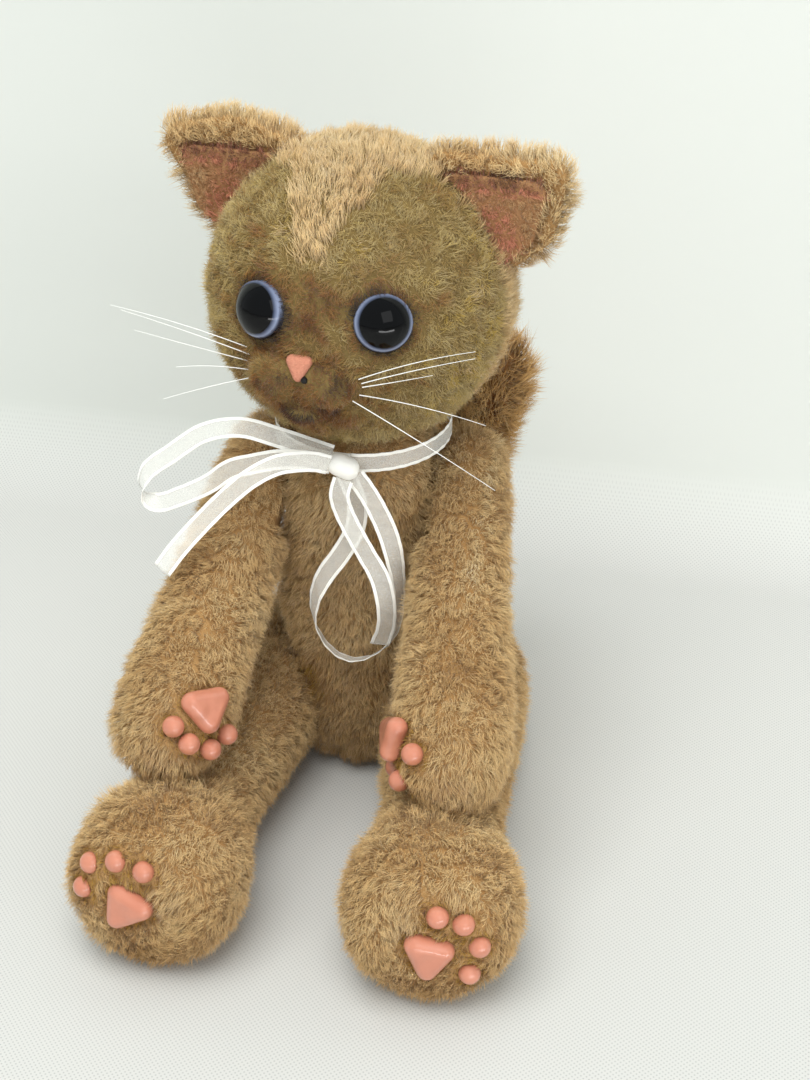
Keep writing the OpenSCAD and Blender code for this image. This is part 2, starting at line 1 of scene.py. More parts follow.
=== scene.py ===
import itertools
import json
import math

import bmesh
import bpy
import numpy as np
from mathutils import Matrix, Vector
from mathutils.bvhtree import BVHTree


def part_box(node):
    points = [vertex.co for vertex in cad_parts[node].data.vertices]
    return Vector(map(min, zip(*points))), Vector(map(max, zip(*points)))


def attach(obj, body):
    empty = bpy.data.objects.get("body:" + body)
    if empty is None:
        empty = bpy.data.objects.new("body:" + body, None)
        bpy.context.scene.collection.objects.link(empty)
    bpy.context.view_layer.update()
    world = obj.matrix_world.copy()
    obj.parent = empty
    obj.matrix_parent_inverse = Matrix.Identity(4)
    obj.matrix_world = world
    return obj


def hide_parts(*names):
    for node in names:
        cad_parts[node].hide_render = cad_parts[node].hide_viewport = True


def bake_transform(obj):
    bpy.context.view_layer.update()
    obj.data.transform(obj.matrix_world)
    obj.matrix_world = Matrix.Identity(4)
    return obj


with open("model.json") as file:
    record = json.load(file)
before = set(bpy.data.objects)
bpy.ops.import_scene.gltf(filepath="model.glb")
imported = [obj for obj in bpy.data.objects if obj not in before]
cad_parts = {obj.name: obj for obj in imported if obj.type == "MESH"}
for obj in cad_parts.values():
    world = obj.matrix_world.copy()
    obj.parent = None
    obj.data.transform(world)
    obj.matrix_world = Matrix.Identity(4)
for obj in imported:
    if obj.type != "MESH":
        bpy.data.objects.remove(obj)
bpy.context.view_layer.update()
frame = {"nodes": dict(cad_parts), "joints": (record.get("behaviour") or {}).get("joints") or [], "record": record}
scene = bpy.context.scene
MM = 0.001

# ---- camera ----

CAMERA_AZIMUTH = 9.5
CAMERA_ELEVATION = 32
CAMERA_DISTANCE = 0.497
CAMERA_TARGET = Vector((0.017, -0.030, 0.093))


def direction(azimuth, elevation):
    """A unit vector from the cat towards a viewer: azimuth 0 is in front of it, and 90 is to its left."""
    a, e = math.radians(azimuth), math.radians(elevation)
    return Vector((math.sin(a) * math.cos(e), -math.cos(a) * math.cos(e), math.sin(e)))


def make_camera():
    camera = bpy.data.objects.new("camera", bpy.data.cameras.new("camera"))
    camera.data.lens = 56.7
    camera.data.clip_start = 0.01
    scene.collection.objects.link(camera)
    towards = direction(CAMERA_AZIMUTH, CAMERA_ELEVATION)
    camera.location = CAMERA_TARGET + CAMERA_DISTANCE * towards
    camera.rotation_euler = towards.to_track_quat("Z", "Y").to_euler()
    scene.camera = camera


make_camera()

# ---- small helpers ----


def srgb(r, g, b):
    """A colour given as 0 to 255 on the screen, as the renderer's linear values."""
    linear = [((c / 255 + 0.055) / 1.055) ** 2.4 if c > 10 else c / 255 / 12.92 for c in (r, g, b)]
    return (*linear, 1)


def grey(value):
    return (value, value, value, 1)


def unit(v):
    return v / np.maximum(np.linalg.norm(v, axis=-1, keepdims=True), 1e-9)


def wobble(p, size, seed):
    """Smooth noise from about -1 to 1 at each point, with features about size across."""
    rng = np.random.default_rng(seed)
    total = np.zeros(len(p))
    for _ in range(8):
        wave = unit(rng.normal(size=3)) * 2 * math.pi / size * rng.uniform(0.6, 1.5)
        total += np.sin(p @ wave + rng.uniform(0, 7))
    return total / 4


def wobble3(p, size, seed):
    return np.stack([wobble(p, size, seed + i) for i in range(3)], axis=1)


def tuft_middles(p, size, seed):
    """The nearest point of a shaken grid to each point: hairs with the same one share a tuft."""
    base = np.floor(p / size)
    best = np.full(len(p), np.inf)
    middle = np.zeros_like(p)
    mixer = np.array([[12.99, 39.35, 73.16], [78.23, 11.14, 52.24], [37.72, 83.16, 9.15]])
    for offset in itertools.product((-1, 0, 1), repeat=3):
        cell = base + offset
        shake = np.mod(np.sin(cell @ mixer + seed) * 43758.5453, 1) - 0.5
        point = (cell + 0.5 + 0.9 * shake) * size
        gap = ((p - point) ** 2).sum(axis=1)
        nearer = gap < best
        best[nearer] = gap[nearer]
        middle[nearer] = point[nearer]
    return middle


def smoothstep(x, low, high):
    t = np.clip((x - low) / (high - low), 0, 1)
    return t * t * (3 - 2 * t)


# ---- ribbon ----

# The routes of the ribbon's free stretches, as in part.scad but in metres. Each row is a point, and the way
# the ribbon faces there.
SIDE_LOOP = [
    (-0.004, -0.031, 0.120, 0, -1, 0.4), (-0.011, -0.031, 0.122, 0, -1, 0.5),
    (-0.020, -0.031, 0.1245, 0, -1, 0.6), (-0.031, -0.029, 0.1255, 0, -1, 0.7),
    (-0.043, -0.026, 0.121, 0, -1, 0.7), (-0.054, -0.024, 0.112, -0.3, -1, 0.5),
    (-0.062, -0.023, 0.105, -0.7, -1, 0.3), (-0.064, -0.024, 0.099, -1, -0.6, -0.2),
    (-0.059, -0.026, 0.096, 0, 1, -0.8), (-0.050, -0.029, 0.101, 0, 1, -0.7),
    (-0.041, -0.031, 0.107, 0, 1, -0.6), (-0.034, -0.032, 0.113, 0, 1, -0.5),
    (-0.027, -0.033, 0.116, 0, 1, -0.4), (-0.019, -0.0335, 0.1185, 0, 1, -0.3),
    (-0.011, -0.0335, 0.119, 0, 1, -0.2), (-0.004, -0.033, 0.118, 0, 1, 0),
]
SIDE_END = [
    (-0.004, -0.035, 0.119, 0, -1, 0.2), (-0.008, -0.0365, 0.1205, 0, -1, 0.3),
    (-0.013, -0.0375, 0.1205, 0, -1, 0.4), (-0.019, -0.038, 0.119, 0, -1, 0.5),
    (-0.026, -0.0395, 0.115, 0, -1, 0.6), (-0.033, -0.042, 0.109, 0, -1, 0.6),
    (-0.039, -0.045, 0.103, 0, -1, 0.6), (-0.046, -0.048, 0.095, 0, -1, 0.6),
    (-0.051, -0.050, 0.088, 0, -1, 0.6),
]
HANGING_LOOP = [
    (0.003, -0.033, 0.115, 0, -1, 0.2), (0.006, -0.0335, 0.111, 0, -1, 0.2),
    (0.009, -0.034, 0.106, 0.1, -1, 0.1), (0.012, -0.034, 0.099, 0.3, -1, 0),
    (0.014, -0.034, 0.092, 0.6, -1, 0), (0.0155, -0.034, 0.083, 1, -0.7, 0),
    (0.016, -0.034, 0.074, 1, -0.4, 0), (0.015, -0.034, 0.063, 1, -0.3, -0.6),
    (0.010, -0.034, 0.055, 0.4, -0.4, -1), (0.002, -0.034, 0.051, 0, -0.4, -1),
    (-0.005, -0.034, 0.054, -0.5, -0.4, -1), (-0.010, -0.033, 0.062, -1, -0.4, -0.4),
    (-0.010, -0.033, 0.071, -1, -0.8, 0), (-0.007, -0.032, 0.079, -0.5, -1, 0.1),
    (-0.002, -0.0315, 0.087, -0.2, -1, 0.1), (0.002, -0.0305, 0.095, 0, -1, 0.1),
    (0.003, -0.030, 0.103, 0, -1, 0.1), (0.0015, -0.030, 0.109, 0, -1, 0.2),
    (0, -0.031, 0.114, 0, -1, 0.2),
]
HANGING_END = [
    (0, -0.035, 0.1145, 0, -1, 0.1), (-0.001, -0.036, 0.110, 0, -1, 0.1),
    (0, -0.036, 0.105, 0, -1, 0.1), (0.003, -0.037, 0.099, 0, -1, 0.1),
    (0.007, -0.038, 0.092, 0, -1, 0.1), (0.011, -0.039, 0.085, 0.2, -1, 0.1),
    (0.013, -0.040, 0.077, 0.5, -1, 0), (0.013, -0.040, 0.069, 0.6, -1, 0),
    (0.011, -0.040, 0.062, 0.4, -1, 0),
]
RIBBON_WIDTH = 0.006
RIBBON_THICKNESS = 0.0002
SATIN_EDGE = 0.68
ACROSS = np.array([
    -1, -0.94, -SATIN_EDGE, -SATIN_EDGE + 0.04, -0.3, 0, 0.3, SATIN_EDGE - 0.04, SATIN_EDGE, 0.94, 1,
])


def smoothed(rows, steps):
    """A Catmull-Rom curve through the rows, with so many steps to a stretch."""
    rows = np.array(rows, dtype=float)
    ends = np.concatenate([rows[:1], rows, rows[-1:]])
    out = []
    for a, b, c, d in zip(ends, ends[1:], ends[2:], ends[3:]):
        for t in np.arange(steps) / steps:
            out.append(0.5 * (
                2 * b + (c - a) * t + (2 * a - 5 * b + 4 * c - d) * t**2 + (3 * b - a - 3 * c + d) * t**3
            ))
    return np.array([*out, rows[-1]])


def ribbon_strip(name, rows, steps=6):
    """A thin flat strip along a route. The second material is its two satin edges, the first its middle."""
    rows = smoothed(rows, steps)
    line, facing = rows[:, :3], rows[:, 3:]
    run = unit(np.gradient(line, axis=0))
    across = unit(np.cross(run, facing))
    normal = np.cross(across, run)
    pucker = 0.00012 * np.sin(np.arange(len(line))[:, None] * 1.7 + 3 * ACROSS[None, :])
    sideways = across[:, None] * ACROSS[None, :, None] * RIBBON_WIDTH / 2
    flat = line[:, None] + sideways + normal[:, None] * pucker[..., None]
    half = normal[:, None] * RIBBON_THICKNESS / 2
    points = np.concatenate([(flat + half).reshape(-1, 3), (flat - half).reshape(-1, 3)])
    columns, under = len(ACROSS), len(line) * len(ACROSS)
    faces, materials = [], []
    for i, j in itertools.product(range(len(line) - 1), range(columns - 1)):
        a, b = i * columns + j, (i + 1) * columns + j
        faces += [(a, a + 1, b + 1, b), (under + a, under + b, under + b + 1, under + a + 1)]
        edge = abs(ACROSS[j] + ACROSS[j + 1]) / 2 > SATIN_EDGE
        materials += [int(edge)] * 2
    for i in range(len(line) - 1):
        for j, turn in ((0, 1), (columns - 1, -1)):
            a, b = i * columns + j, (i + 1) * columns + j
            faces.append((a, b, under + b, under + a)[::turn])
            materials.append(1)
    for i, turn in ((0, -1), (len(line) - 1, 1)):
        for j in range(columns - 1):
            a = i * columns + j
            faces.append((a, a + 1, under + a + 1, under + a)[::turn])
            materials.append(1)
    mesh = bpy.data.meshes.new(name)
    mesh.from_pydata([tuple(p) for p in points], [], faces)
    mesh.polygons.foreach_set("material_index", materials)
    mesh.shade_smooth()
    obj = bpy.data.objects.new(name, mesh)
    scene.collection.objects.link(obj)
    return obj, line


def make_free_ribbon(node, rows, blended):
    obj, line = ribbon_strip(node + "_organza", rows)
    if blended:
        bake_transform(obj)
    else:
        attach(obj, "torso")
    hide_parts(node)
    return obj


ribbons = [
    make_free_ribbon("ribbon_side_loop", SIDE_LOOP, True),
    make_free_ribbon("ribbon_side_end", SIDE_END, True),
    make_free_ribbon("ribbon_hanging_loop", HANGING_LOOP, False),
    make_free_ribbon("ribbon_hanging_end", HANGING_END, False),
]

# ---- materials ----


class Nodes:
    """Builds one material's node tree in few lines."""

    def __init__(self, name):
        self.material = bpy.data.materials.new(name)
        self.material.use_nodes = True
        self.tree = self.material.node_tree
        self.shader = self.tree.nodes["Principled BSDF"]

    def add(self, kind, *inputs, **settings):
        made = self.tree.nodes.new("ShaderNode" + kind)
        for key, value in settings.items():
            setattr(made, key, value)
        for socket, value in inputs:
            self.put(made.inputs[socket], value)
        return made

    def put(self, socket, value):
        if isinstance(value, bpy.types.NodeSocket):
            self.tree.links.new(value, socket)
        else:
            socket.default_value = value

    def set(self, **values):
        for name, value in values.items():
            self.put(self.shader.inputs[name.replace("_", " ")], value)

    def ramp(self, value, stops):
        made = self.add("ValToRGB", (0, value))
        spots = made.color_ramp.elements
        while len(spots) < len(stops):
            spots.new(1)
        for spot, (place, colour) in zip(spots, stops):
            spot.position = place
            spot.color = colour
        return made.outputs[0]

    def noise(self, scale, detail=4.0, vector=None):
        inputs = [("Scale", scale), ("Detail", detail)]
        vector = vector or self.add("TexCoord").outputs["Object"]
        return self.add("TexNoise", ("Vector", vector), *inputs).outputs["Fac"]

    def mix(self, factor, a, b, blend_type="MIX"):
        made = self.add("Mix", data_type="RGBA", blend_type=blend_type)
        for socket, value in ((0, factor), (6, a), (7, b)):
            self.put(made.inputs[socket], value)
        return made.outputs[2]

    def bump(self, height, distance, strength=1.0):
        made = self.add("Bump", ("Height", height), ("Distance", distance), ("Strength", strength))
        self.put(self.shader.inputs["Normal"], made.outputs[0])


def fur_material(name, hues, root_shade=0.45):
    """Hair whose map runs across the hues in U, and from root to tip in V."""
    n = Nodes(name)
    uv = n.add("UVMap", uv_map="OFBake").outputs[0]
    split = n.add("SeparateXYZ", (0, uv)).outputs
    hue = n.ramp(split[0], hues)
    shade = n.ramp(split[1], [(0, grey(root_shade)), (0.6, grey(0.9)), (1, grey(1.12))])
    colour = n.mix(1.0, hue, shade, "MULTIPLY")
    n.set(Base_Color=colour, Roughness=0.85, Sheen_Weight=0.25, Sheen_Roughness=0.5)
    n.shader.inputs["Specular IOR Level"].default_value = 0.2
    return n.material


def skin_material(name, deep, light, scale=900):
    """The dense underfur at the hairs' roots."""
    n = Nodes(name)
    colour = n.mix(n.noise(scale), deep, light)
    n.set(Base_Color=colour, Roughness=0.95)
    n.bump(n.noise(scale * 2), 0.0006)
    return n.material


FUR_HUES = [
    (0.0, srgb(92, 58, 34)),
    (0.15, srgb(158, 108, 54)),
    (0.3, srgb(206, 164, 70)),
    (0.4, srgb(196, 152, 96)),
    (0.6, srgb(232, 194, 136)),
    (0.8, srgb(244, 214, 160)),
    (1.0, srgb(250, 232, 196)),
]
WOOL_HUES = [
    (0.0, srgb(40, 30, 24)),
    (0.15, srgb(112, 66, 30)),
    (0.35, srgb(166, 112, 54)),
    (0.55, srgb(186, 156, 92)),
    (0.75, srgb(214, 190, 132)),
    (0.88, srgb(206, 170, 60)),
    (1.0, srgb(240, 212, 172)),
]
TAIL_HUES = [(0.0, srgb(150, 104, 56)), (0.5, srgb(228, 182, 114)), (1.0, srgb(248, 214, 158))]
PINK_HUES = [
    # The first stop, dark brown, is the painted shade at the top of the ear lining.
    (0.0, srgb(112, 76, 44)),
    (0.3, srgb(226, 146, 118)),
    (0.6, srgb(200, 156, 106)),
    (1.0, srgb(226, 192, 146)),
]


def clay_material():
    """Glazed polymer clay, a little uneven in shape and colour."""
    n = Nodes("glazed_clay")
    colour = n.mix(n.noise(160), srgb(188, 116, 92), srgb(210, 140, 114))
    n.set(Base_Color=colour, Roughness=0.32, Coat_Weight=0.5)
    n.bump(n.noise(220, detail=0), 0.0012, 0.6)
    return n.material


def eye_material():
    """Glass over a black pupil and a grey-blue iris, in rings about the eye's own z axis."""
    n = Nodes("eye_glass")
    split = n.add("SeparateXYZ", (0, n.add("TexCoord").outputs["Object"])).outputs
    raised = n.add("Math", (0, split[1]), (1, -0.0007), operation="ADD").outputs[0]
    flat = n.add("CombineXYZ", (0, split[0]), (1, raised))
    radius = n.add("VectorMath", (0, flat.outputs[0]), operation="LENGTH").outputs["Value"]
    part = n.add("Math", (0, radius), (1, 0.009), operation="DIVIDE").outputs[0]
    rings = n.ramp(part, [
        (0.0, srgb(2, 2, 3)), (0.73, srgb(3, 3, 5)), (0.77, srgb(74, 82, 104)), (0.84, srgb(140, 150, 178)),
        (0.89, srgb(66, 70, 86)), (0.92, srgb(24, 18, 14)),
    ])
    n.set(Base_Color=rings, Roughness=0.05, Specular_IOR_Level=0.22)
    return n.material


def ribbon_material(name, alpha, roughness, weave):
    n = Nodes(name)
    n.set(Base_Color=srgb(252, 250, 244), Roughness=roughness, Sheen_Weight=0.4)
    if alpha < 1:
        threads = n.noise(weave, detail=1)
        cover = n.add("MapRange", (0, threads), (1, 0.3), (2, 0.7), (3, alpha - 0.15), (4, alpha + 0.2))
        n.set(Alpha=cover.outputs[0])
    return n.material


def plain_material(name, colour, roughness, metallic=0.0, grain=400):
    n = Nodes(name)
    n.set(Base_Color=n.mix(n.noise(grain), srgb(*colour), srgb(*(min(255, int(c * 1.12)) for c in colour))),
          Roughness=roughness, Metallic=metallic)
    return n.material


fur_mat = fur_material("fur_pile", FUR_HUES, 0.6)
wool_mat = fur_material("face_wool", WOOL_HUES, 0.7)
tail_mat = fur_material("tail_pile", TAIL_HUES, 0.5)
pink_mat = fur_material("ear_pile", PINK_HUES, 0.7)
body_skin_mat = skin_material("fur_ground", srgb(168, 128, 80), srgb(196, 156, 104))
face_skin_mat = skin_material("face_ground", srgb(112, 90, 52), srgb(140, 118, 70))
tail_skin_mat = skin_material("tail_ground", srgb(140, 98, 54), srgb(170, 122, 74))
pink_skin_mat = skin_material("ear_ground", srgb(168, 126, 84), srgb(190, 142, 102))
nose_mat = skin_material("nose_wool", srgb(206, 128, 104), srgb(226, 158, 130), 1500)
clay_mat = clay_material()
eye_mat = eye_material()
organza_mat = ribbon_material("sheer_organza", 0.3, 0.5, 5200)
satin_mat = ribbon_material("satin_edge", 1, 0.35, 0)
whisker_mat = plain_material("nylon", (236, 234, 228), 0.25)
HIDDEN_MATERIALS = {
    "black_thread": plain_material("thread", (16, 14, 13), 0.6),
    "stuffing": plain_material("polyester_fibre", (226, 224, 216), 0.95),
    "pellet_bag": plain_material("cotton_bag", (206, 198, 180), 0.9),
    "hardboard": plain_material("hardboard", (112, 80, 54), 0.7),
    "steel": plain_material("steel", (168, 168, 172), 0.3, 1.0),
}
for strip in ribbons:
    strip.data.materials.append(organza_mat)
    strip.data.materials.append(satin_mat)

# ---- skins: the outside of a CAD shell, made soft ----


def outer_faces(bm, convex):
    """The faces on the outside of a shell: nothing of the shell is in front of them."""
    bm.normal_update()
    tree = BVHTree.FromBMesh(bm)
    middle = sum((v.co for v in bm.verts), Vector()) / len(bm.verts)
    keep = []
    for face in bm.faces:
        centre, normal = face.calc_center_median(), face.normal
        covered = tree.ray_cast(centre + normal * 1e-5, normal, 0.15)[0] is not None
        outward = (centre - middle).dot(normal) > 0 or not convex
        if outward and not covered:
            keep.append(face)
    return keep


def soft_copy(name, nodes, voxel, smooth=8, shell=True, convex=True):
    """A new piece in the shape of CAD nodes, remeshed and with its edges rounded off."""
    bm = bmesh.new()
    for node in nodes:
        bm.from_mesh(frame["nodes"][node].data)
    bmesh.ops.remove_doubles(bm, verts=bm.verts, dist=1e-6)
    if shell:
        keep = set(outer_faces(bm, convex))
        bmesh.ops.delete(bm, geom=[f for f in bm.faces if f not in keep], context="FACES")
        bmesh.ops.delete(bm, geom=[v for v in bm.verts if not v.link_faces], context="VERTS")
        bmesh.ops.holes_fill(bm, edges=bm.edges, sides=0)
    mesh = bpy.data.meshes.new(name)
    bm.to_mesh(mesh)
    bm.free()
    obj = bpy.data.objects.new(name, mesh)
    scene.collection.objects.link(obj)
    remesh = obj.modifiers.new("remesh", "REMESH")
    remesh.mode = "VOXEL"
    remesh.voxel_size = voxel * MM
    rounder = obj.modifiers.new("round", "SMOOTH")
    rounder.iterations = smooth
    done = bpy.data.meshes.new_from_object(obj.evaluated_get(bpy.context.evaluated_depsgraph_get()))
    obj.modifiers.clear()
    obj.data = done
    done.name = name
    done.shade_smooth()
    return obj


def dress(obj, body, material, slot, *replaced):
    obj.data.materials.clear()
    obj.data.materials.append(material)
    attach(obj, body)
    if replaced:
        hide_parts(*replaced)


# ---- hair ----

HAIRS_PER_PIECE = 22000
ROOT_DEPTH = 0.4
RING = np.array([[1, 0], [-1, 0], [0, 1]])
HAIR_FACES = np.array(
    [[0, 2, 5], [0, 5, 3], [2, 1, 4], [2, 4, 5], [1, 0, 3], [1, 3, 4], [3, 5, 6], [5, 4, 6], [4, 3, 6]]
)
HAIR_STEPS = np.array([0, 0, 0, 0.55, 0.55, 0.55, 1])


def scatter(obj, per_cm2, rng):
    """Random points on a mesh in millimetres, and the surface's smooth normals there."""
    mesh = obj.data
    mesh.calc_loop_triangles()
    tris = np.empty(len(mesh.loop_triangles) * 3, dtype=np.int32)
    mesh.loop_triangles.foreach_get("vertices", tris)
    tris = tris.reshape(-1, 3)
    co = np.empty(len(mesh.vertices) * 3, dtype=np.float32)
    mesh.vertices.foreach_get("co", co)
    co = co.reshape(-1, 3).astype(float) / MM
    normal = np.empty(len(mesh.vertices) * 3, dtype=np.float32)
    mesh.vertex_normals.foreach_get("vector", normal)
    normal = normal.reshape(-1, 3).astype(float)
    a, b, c = co[tris[:, 0]], co[tris[:, 1]], co[tris[:, 2]]
    area = np.linalg.norm(np.cross(b - a, c - a), axis=1) / 2
    chosen = rng.choice(len(tris), size=int(area.sum() / 100 * per_cm2), p=area / area.sum())
    u, v = rng.random((2, len(chosen), 1))
    flip = u + v > 1
    u, v = np.where(flip, 1 - u, u), np.where(flip, 1 - v, v)
    picked = tris[chosen]
    p = (1 - u - v) * co[picked[:, 0]] + u * co[picked[:, 1]] + v * co[picked[:, 2]]
    n = (1 - u - v) * normal[picked[:, 0]] + u * normal[picked[:, 1]] + v * normal[picked[:, 2]]
    return p, unit(n)


def seated(p, reach=1.2, radius=27):
    """True where a point lies on a joint's flat faces, where nothing grows."""
    hidden = np.zeros(len(p), dtype=bool)
    for joint in frame["joints"]:
        away = p - np.array(joint["pos_m"]) / MM
        axis = np.array(joint["axis"])
        along = away @ axis
        across = np.linalg.norm(away - along[:, None] * axis, axis=1)
        hidden |= (abs(along) < reach) & (across < radius)
    return hidden


def hair_mesh(name, root, middle, tip, up, width, hue, glow):
    """Three-sided tapering hairs as one closed mesh."""
    count = len(root)
    run = unit(tip - root)
    side = unit(np.cross(run, up))
    top = np.cross(side, run)
    points = np.empty((count, 7, 3))
    for k, (x, y) in enumerate(RING):
        spread = (x * side + y * top) * width[:, None] / 2
        points[:, k] = root + spread
        points[:, 3 + k] = middle + spread * 0.85
    points[:, 6] = tip
    mesh = bpy.data.meshes.new(name)
    faces = (np.arange(count)[:, None, None] * 7 + HAIR_FACES).reshape(-1)
    mesh.vertices.add(count * 7)
    mesh.vertices.foreach_set("co", (points * MM).reshape(-1))
    mesh.loops.add(len(faces))
    mesh.loops.foreach_set("vertex_index", faces)
    mesh.polygons.add(len(faces) // 3)
    mesh.polygons.foreach_set("loop_start", np.arange(0, len(faces), 3))
    mesh.update(calc_edges=True)
    across = hue[:, None] + (np.array([1, -1, 0, 1, -1, 0, 0]) * 0.004)
    along = HAIR_STEPS[None, :] * glow[:, None]
    uv = np.stack([np.clip(across, 0.01, 0.99), along * 0.98 + 0.01], axis=2).reshape(-1, 2)
    layer = mesh.uv_layers.new(name="OFBake")
    layer.uv.foreach_set("vector", uv[faces].reshape(-1))
    mesh.shade_smooth()
    return mesh


def grow(name, skin, body, material, per_cm2, length, width, flow, hue,
         lean=0.5, curl=0.2, tuft=4.0, clump=0.5, where=None, seed=1):
    """Covers a skin with hair. Lengths are in millimetres; flow, hue, length and where see each root."""
    rng = np.random.default_rng(seed)
    p, n = scatter(skin, per_cm2 * (1), rng)
    keep = ~seated(p)
    if where is not None:
        keep &= rng.random(len(p)) < where(p, n)
    p, n = p[keep], n[keep]
    count = len(p)
    comb = flow(p, n)
    comb = unit(comb - (comb * n).sum(axis=1, keepdims=True) * n)
    size = length(p) if callable(length) else np.full(count, length)
    tilt = lean(p) if callable(lean) else np.full(count, lean)
    size = size * rng.uniform(0.7, 1.12, count) * (1 + 0.16 * wobble(p, 9, seed + 40))
    sway = wobble3(p, 14, seed + 50) * 0.3 + wobble3(p, 5, seed + 60) * 0.28
    sway = sway + rng.normal(size=(count, 3)) * curl
    start = unit(n * (1.15 - tilt[:, None]) + comb * tilt[:, None] * 0.6 + sway * 0.5)
    end = unit(n * (0.9 - tilt[:, None]) + comb * tilt[:, None] * 1.2 + sway)
    middle = p + start * size[:, None] * 0.5
    tip = middle + end * size[:, None] * 0.5
    pull = tuft_middles(p, tuft, seed) - p
    pull -= (pull * n).sum(axis=1, keepdims=True) * n
    middle += pull * clump * 0.45
    tip += pull * clump
    middle[:, 2] = np.maximum(middle[:, 2], 0.5)
    tip[:, 2] = np.maximum(tip[:, 2], 0.3)
    wide = np.full(count, width) * rng.uniform(0.7, 1.3, count) * 1
    tone = np.clip(hue(p, n) + rng.normal(size=count) * 0.05, 0, 1)
    glow = rng.uniform(0.7, 1.0, count)
    for first in range(0, count, HAIRS_PER_PIECE):
        part = slice(first, first + HAIRS_PER_PIECE)
        label = f"{name}_{first // HAIRS_PER_PIECE + 1}"
        root = (p - ROOT_DEPTH * n)[part]
        mesh = hair_mesh(label, root, middle[part], tip[part], n[part], wide[part], tone[part], glow[part])
        mesh.materials.append(material)
        obj = bpy.data.objects.new(label, mesh)
        scene.collection.objects.link(obj)
        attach(obj, body)


# ---- torso, limbs and head ----

FUR_DENSITY = 400
FUR_LENGTH = 5.0
FUR_WIDTH = 0.17
WOOL_WIDTH = 0.13
FACE_TURN = math.radians(-8)
head_low, head_high = (np.array(c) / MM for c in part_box("head_skin"))
HEAD_RADIUS = (head_high[0] - head_low[0]) / 2
HEAD_CENTRE = np.array([*(head_low + head_high)[:2] / 2, head_high[2] - HEAD_RADIUS])


def toward(vector):
    return lambda p, n: np.broadcast_to(np.array(vector, dtype=float), p.shape)


def gap_to(p, nodes, reach=6.0):
    """How far each point is from the nearest of these CAD nodes, up to reach, in millimetres."""
    gap = np.full(len(p), reach)
    for node in nodes:
        mesh = frame["nodes"][node].data
        tree = BVHTree.FromPolygons([v.co / MM for v in mesh.vertices], [f.vertices for f in mesh.polygons])
        low, high = (np.array(c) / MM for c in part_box(node))
        near = np.all((p > low - reach) & (p < high + reach), axis=1)
        for i in np.flatnonzero(near):
            distance = tree.find_nearest(Vector(p[i]), reach)[3]
            if distance is not None:
                gap[i] = min(gap[i], distance)
    return gap


def bare_near(nodes, margin):
    """Nothing grows within margin of these nodes."""
    return lambda p, n: (gap_to(p, nodes) > margin).astype(float)


def stain(p, middle, radius):
    return np.exp(-((p - np.array(middle)) ** 2).sum(axis=1) / radius**2)


def tan_hue(p, n):
    # The last term is painted shade: the fur is darker where the surface faces down.
    return 0.62 + 0.07 * wobble(p, 26, 5) + 0.06 * wobble(p, 8, 6) - 0.1 * smoothstep(n[:, 2], 0.1, -0.9)


def torso_hue(p, n):
    # The last term is painted shade: the torso's fur darkens towards the floor.
    return tan_hue(p, n) - 0.36 * stain(p, (-16, -27, 38), 7) - 0.08 * smoothstep(p[:, 2], 60, 10)


def make_torso():
    skin = soft_copy("torso_fabric", ["torso_skin"], 1.6)
    dress(skin, "torso", body_skin_mat, "fur", "torso_skin")

    def length(p):
        return FUR_LENGTH * (1 - 0.5 * smoothstep(p[:, 2], 100, 114))

    grow("torso_fur", skin, "torso", fur_mat, FUR_DENSITY, length, FUR_WIDTH, toward((0, -0.1, -1)),
         torso_hue, seed=11)


def make_limb(side, limb, along, pads, extra, seed):
    body = f"{side}_{limb}"
    skin = soft_copy(body + "_fabric", [body + "_skin"], 1.6)
    dress(skin, body, body_skin_mat, "fur", body + "_skin")

    def hue(p, n):
        return tan_hue(p, n) + extra(p) - 0.4 * (1 - smoothstep(gap_to(p, pads), 0.8, 3.2))

    def length(p):
        return FUR_LENGTH * (0.45 + 0.55 * smoothstep(gap_to(p, pads), 0.5, 5))

    grow(body + "_fur", skin, body, fur_mat, FUR_DENSITY, length, FUR_WIDTH, toward(along), hue,
         where=bare_near(pads, 0.4), seed=seed)
    for pad in pads:
        clay = soft_copy(pad + "_clay", [pad], 0.35, smooth=3, shell=False)
        dress(clay, body, clay_mat, "clay", pad)


def left_arm_marks(p):
    """A yellow spot on the forearm and a paler line down the front."""
    line = np.exp(-((p[:, 0] - 38) / 1.5) ** 2) * smoothstep(p[:, 2], 80, 90)
    return -0.3 * stain(p, (38, -70, 80), 5) + 0.2 * line


def no_marks(p):
    return np.zeros(len(p))


# ---- face ----


def on_face(p):
    """Points in the head's own frame: x to the cat's left, -y out of the face, z up."""
    c, s = math.cos(-FACE_TURN), math.sin(-FACE_TURN)
    away = p - HEAD_CENTRE
    return np.stack([c * away[:, 0] - s * away[:, 1], s * away[:, 0] + c * away[:, 1], away[:, 2]], axis=1)


def patch(q, x, z, wide, high):
    """1 in the middle of a patch of the face, fading to 0 around it."""
    return np.exp(-(((q[:, 0] - x) / wide) ** 2) - ((q[:, 2] - z) / high) ** 2) * (q[:, 1] < 0)


def eye_axis(side):
    low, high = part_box(side + "_eye")
    return unit(np.array((low + high) / 2) / MM - HEAD_CENTRE)


EYES = {side: eye_axis(side) for side in ("left", "right")}


def from_eyes(p):
    """Each point's distance from the nearer eye's axis."""
    away = p - HEAD_CENTRE
    gaps = []
    for axis in EYES.values():
        along = away @ axis
        gaps.append(np.linalg.norm(away - np.outer(along, axis), axis=1) + 99 * (along < 0))
    return np.min(gaps, axis=0)


